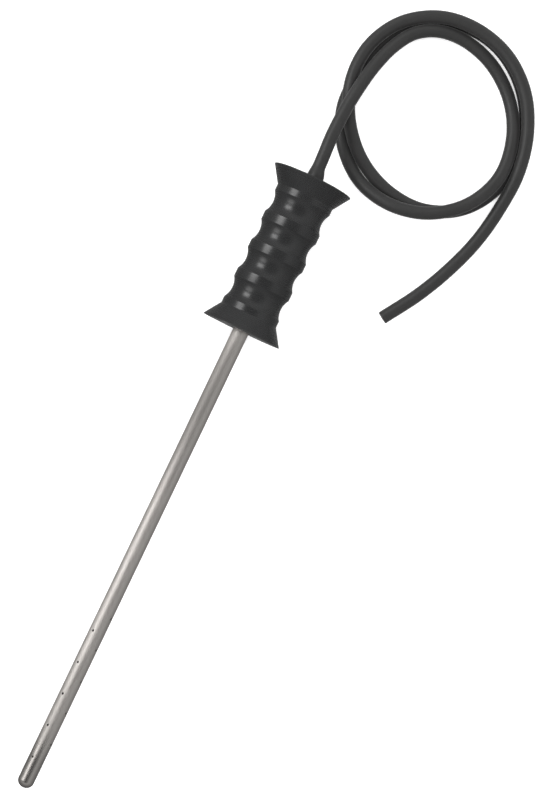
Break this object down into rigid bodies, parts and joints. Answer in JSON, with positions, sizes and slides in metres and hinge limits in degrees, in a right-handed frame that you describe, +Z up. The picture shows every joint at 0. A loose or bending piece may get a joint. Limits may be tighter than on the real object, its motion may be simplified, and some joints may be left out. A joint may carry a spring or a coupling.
{
  "type": "grain sampling lance",
  "caption": "Suction lance for grain: drilled steel probe tube with domed tip, spool-shaped grip with finger scoops, and a loosely looped rubber hose with a bare end.",
  "frame": {"origin": "on the ground below the middle of the lance, measured from the domed tip to the end of the hose nipple, with both grip flanges standing on z = 0", "axes": "+Y along the lance from the tip to the hose, +Z up, +X to the side on which the hose lies"},
  "size_m": [0.167, 0.6399, 0.06],
  "materials": {
    "probe_steel": "stainless, satin, polished towards the tip",
    "hardware_steel": "turned stainless",
    "grip_black": "turned, satin",
    "seal_rubber": "matt",
    "filter_bronze": "sintered, matt",
    "hose_rubber": "smooth, matt with a soft sheen"
  },
  "bodies": {
    "root": {"probe_tip": "probe_steel", "probe_tube": "probe_steel", "stop_collar": "hardware_steel", "lower_washer": "hardware_steel", "grip": "grip_black", "upper_washer": "hardware_steel", "nipple_seal": "seal_rubber", "hose_nipple": "hardware_steel", "dust_filter": "filter_bronze", "hose": "hose_rubber"}
  },
  "joints": []
}
